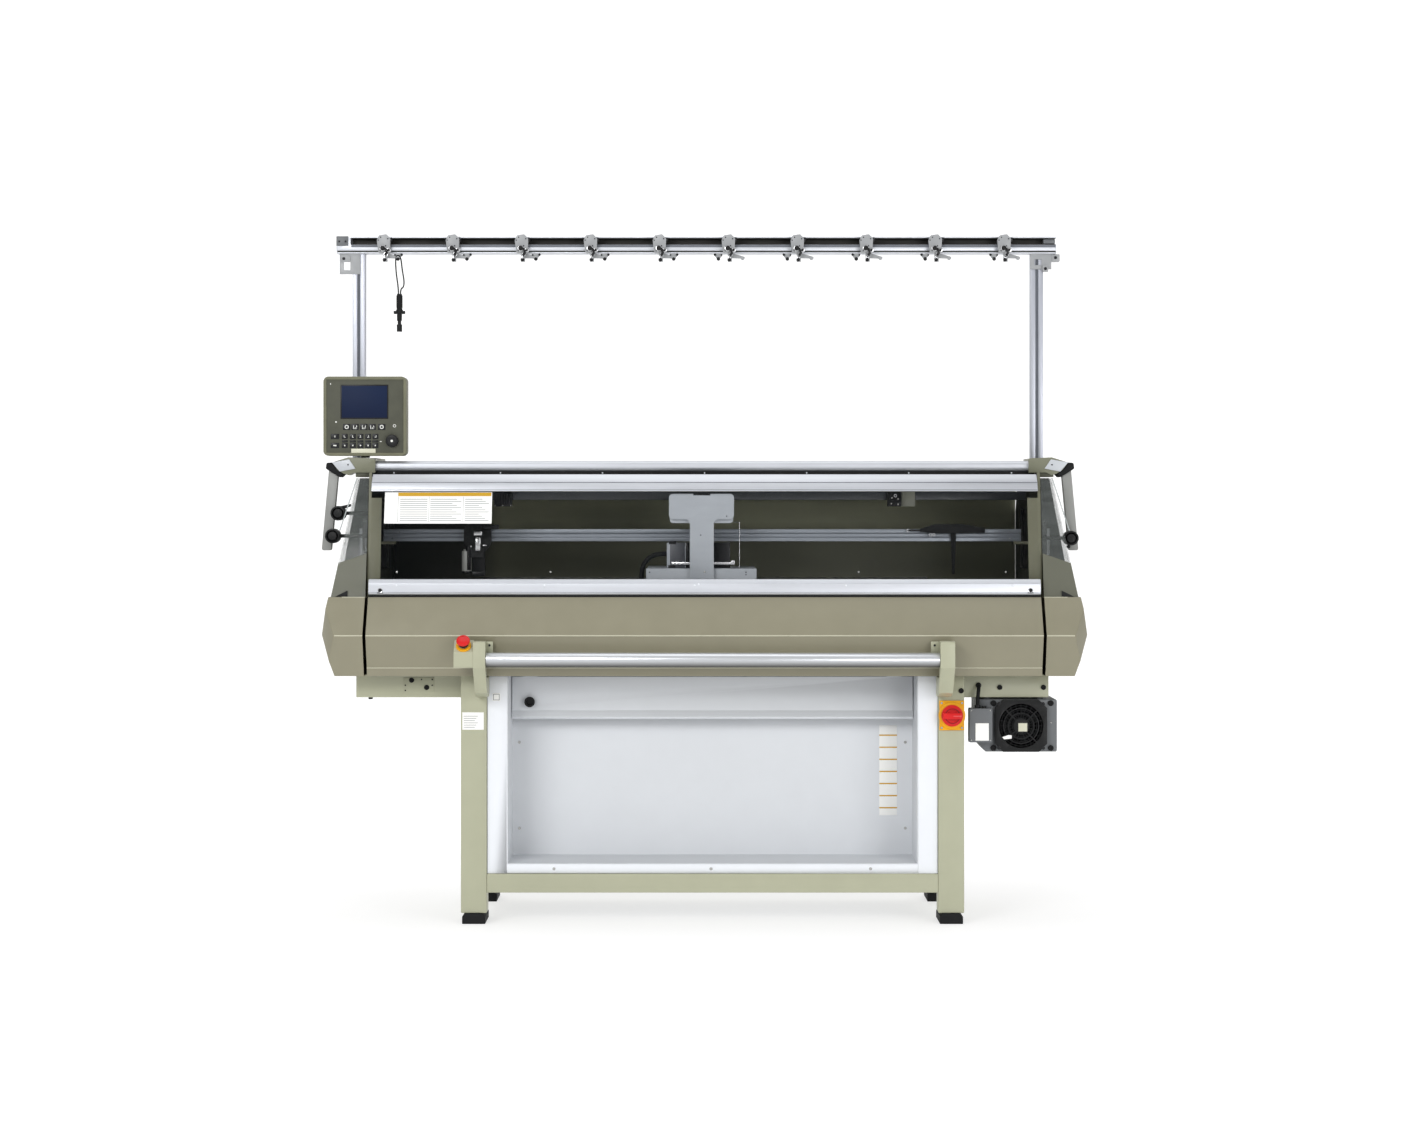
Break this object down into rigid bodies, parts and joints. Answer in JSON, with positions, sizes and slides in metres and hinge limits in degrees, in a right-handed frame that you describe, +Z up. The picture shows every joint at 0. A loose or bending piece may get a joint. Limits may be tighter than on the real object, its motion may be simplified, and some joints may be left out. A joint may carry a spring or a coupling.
{
  "type": "flat knitting machine",
  "caption": "Industrial computer flat knitting machine with a sliding carriage over V-shaped needle beds, a hinged clear cover, a yarn stand and a swivelling control panel.",
  "frame": {"origin": "on the floor, below the middle of the machine's bounding box", "axes": "+X along the needle beds to the operator's right, -Y towards the operator, +Z up"},
  "size_m": [2.0784, 0.7565, 1.8917],
  "materials": {
    "khaki_paint": "satin",
    "taupe_paint": "satin",
    "dark_olive_paint": "matt",
    "white_paint": "satin",
    "grey_paint": "satin",
    "cast_grey": "painted",
    "bright_aluminium": "anodised",
    "dark_rail": "satin",
    "ground_steel": "ground",
    "black_rubber": "matt",
    "black_plastic": "matt",
    "light_plate": "satin",
    "clear_sheet": "clear acrylic",
    "panel_olive": "fine texture",
    "switch_yellow": "gloss",
    "signal_red": "gloss",
    "black_cord": "braided",
    "black_tool": "matt"
  },
  "bodies": {
    "frame": {"bar_brackets": "khaki_paint", "bed_beam": "cast_grey", "chamber_surround": "white_paint", "chamber_tray": "white_paint", "control_cabinet": "grey_paint", "cover_end_frames": "dark_olive_paint", "deflector_panel": "white_paint", "end_caps": "taupe_paint", "fan_box": "grey_paint", "fan_cable": "black_rubber", "fan_guard": "black_plastic", "feeder_rail": "bright_aluminium", "floor_beams": "khaki_paint", "front_fascia": "taupe_paint", "front_needle_bed": "ground_steel", "guard_arms": "light_plate", "hand_grips": "black_rubber", "head_tube": "bright_aluminium", "hook_tool": "black_tool", "junction_box": "grey_paint", "lanyard_cord": "black_cord", "left_end_bracket": "khaki_paint", "left_stand_frame": "khaki_paint", "levelling_feet": "black_rubber", "rail_units": "ground_steel", "rear_cover": "dark_olive_paint", "right_end_bracket": "khaki_paint", "right_stand_frame": "khaki_paint", "side_handles": "black_plastic", "side_shields": "clear_sheet", "switch_plate": "switch_yellow", "tension_plates": "light_plate", "top_rail": "bright_aluminium", "upper_rail": "dark_rail", "yarn_stand": "bright_aluminium"},
    "cover": {"cover_window": "clear_sheet", "cover_bottom_rail": "bright_aluminium", "cover_top_rail": "bright_aluminium"},
    "carriage": {"carriage_base": "light_plate", "carriage_bridge": "light_plate", "carriage_cable": "black_rubber"},
    "carrier": {"yarn_carrier": "black_plastic"},
    "racking_bed": {"rear_needle_bed": "ground_steel"},
    "roller": {"takedown_roller": "ground_steel"},
    "bar": {"operation_bar": "bright_aluminium"},
    "button": {"stop_button": "signal_red"},
    "switch": {"switch_knob": "signal_red"},
    "rotor": {"fan_rotor": "black_plastic"},
    "panel": {"panel_housing": "panel_olive"},
    "dial": {"panel_dial": "black_plastic"},
    "knob_01": {"tension_knob_01": "black_plastic"},
    "knob_02": {"tension_knob_02": "black_plastic"},
    "knob_03": {"tension_knob_03": "black_plastic"},
    "knob_04": {"tension_knob_04": "black_plastic"},
    "knob_05": {"tension_knob_05": "black_plastic"},
    "knob_06": {"tension_knob_06": "black_plastic"},
    "knob_07": {"tension_knob_07": "black_plastic"},
    "knob_08": {"tension_knob_08": "black_plastic"},
    "knob_09": {"tension_knob_09": "black_plastic"},
    "knob_10": {"tension_knob_10": "black_plastic"}
  },
  "joints": [
    {"name": "cover_hinge", "type": "hinge", "parent": "frame", "child": "cover", "pos_m": [0, -0.152, 1.202], "axis": [-1, 0, 0], "range_deg": [0, 75]},
    {"name": "carriage_slide", "type": "slide", "parent": "frame", "child": "carriage", "axis": [1, 0, 0], "range_m": [-0.43, 0.43]},
    {"name": "carrier_slide", "type": "slide", "parent": "frame", "child": "carrier", "axis": [1, 0, 0], "range_m": [-1.15, 0.09]},
    {"name": "bed_racking", "type": "slide", "parent": "frame", "child": "racking_bed", "axis": [1, 0, 0], "range_m": [-0.02, 0.02]},
    {"name": "roller_turn", "type": "hinge", "parent": "frame", "child": "roller", "pos_m": [0, 0.01, 0.722], "axis": [1, 0, 0], "continuous": true},
    {"name": "bar_twist", "type": "hinge", "parent": "frame", "child": "bar", "pos_m": [0, -0.35, 0.719], "axis": [1, 0, 0], "range_deg": [-15, 15], "stiffness_Nm_per_rad": 4},
    {"name": "stop_press", "type": "slide", "parent": "frame", "child": "button", "axis": [0, 0.7071, -0.7071], "range_m": [0, 0.006], "stiffness_N_per_m": 1500},
    {"name": "switch_turn", "type": "hinge", "parent": "frame", "child": "switch", "pos_m": [0.667, -0.241, 0.563], "axis": [0, 1, 0], "range_deg": [0, 90]},
    {"name": "fan_spin", "type": "hinge", "parent": "frame", "child": "rotor", "pos_m": [0.859, -0.175, 0.531], "axis": [0, 1, 0], "continuous": true},
    {"name": "panel_swivel", "type": "hinge", "parent": "frame", "child": "panel", "pos_m": [-0.931, -0.1, 1.265], "axis": [0, 0, 1], "range_deg": [-35, 35]},
    {"name": "dial_turn", "type": "hinge", "parent": "panel", "child": "dial", "pos_m": [-0.8546, -0.128, 1.3055], "axis": [0, 1, 0], "continuous": true},
    {"name": "knob_01_turn", "type": "hinge", "parent": "frame", "child": "knob_01", "pos_m": [-0.905, 0.085, 1.852], "axis": [0, 1, 0], "range_deg": [-360, 360]},
    {"name": "knob_02_turn", "type": "hinge", "parent": "frame", "child": "knob_02", "pos_m": [-0.711, 0.085, 1.852], "axis": [0, 1, 0], "range_deg": [-360, 360]},
    {"name": "knob_03_turn", "type": "hinge", "parent": "frame", "child": "knob_03", "pos_m": [-0.517, 0.085, 1.852], "axis": [0, 1, 0], "range_deg": [-360, 360]},
    {"name": "knob_04_turn", "type": "hinge", "parent": "frame", "child": "knob_04", "pos_m": [-0.323, 0.085, 1.852], "axis": [0, 1, 0], "range_deg": [-360, 360]},
    {"name": "knob_05_turn", "type": "hinge", "parent": "frame", "child": "knob_05", "pos_m": [-0.129, 0.085, 1.852], "axis": [0, 1, 0], "range_deg": [-360, 360]},
    {"name": "knob_06_turn", "type": "hinge", "parent": "frame", "child": "knob_06", "pos_m": [0.065, 0.085, 1.852], "axis": [0, 1, 0], "range_deg": [-360, 360]},
    {"name": "knob_07_turn", "type": "hinge", "parent": "frame", "child": "knob_07", "pos_m": [0.259, 0.085, 1.852], "axis": [0, 1, 0], "range_deg": [-360, 360]},
    {"name": "knob_08_turn", "type": "hinge", "parent": "frame", "child": "knob_08", "pos_m": [0.453, 0.085, 1.852], "axis": [0, 1, 0], "range_deg": [-360, 360]},
    {"name": "knob_09_turn", "type": "hinge", "parent": "frame", "child": "knob_09", "pos_m": [0.647, 0.085, 1.852], "axis": [0, 1, 0], "range_deg": [-360, 360]},
    {"name": "knob_10_turn", "type": "hinge", "parent": "frame", "child": "knob_10", "pos_m": [0.841, 0.085, 1.852], "axis": [0, 1, 0], "range_deg": [-360, 360]}
  ]
}
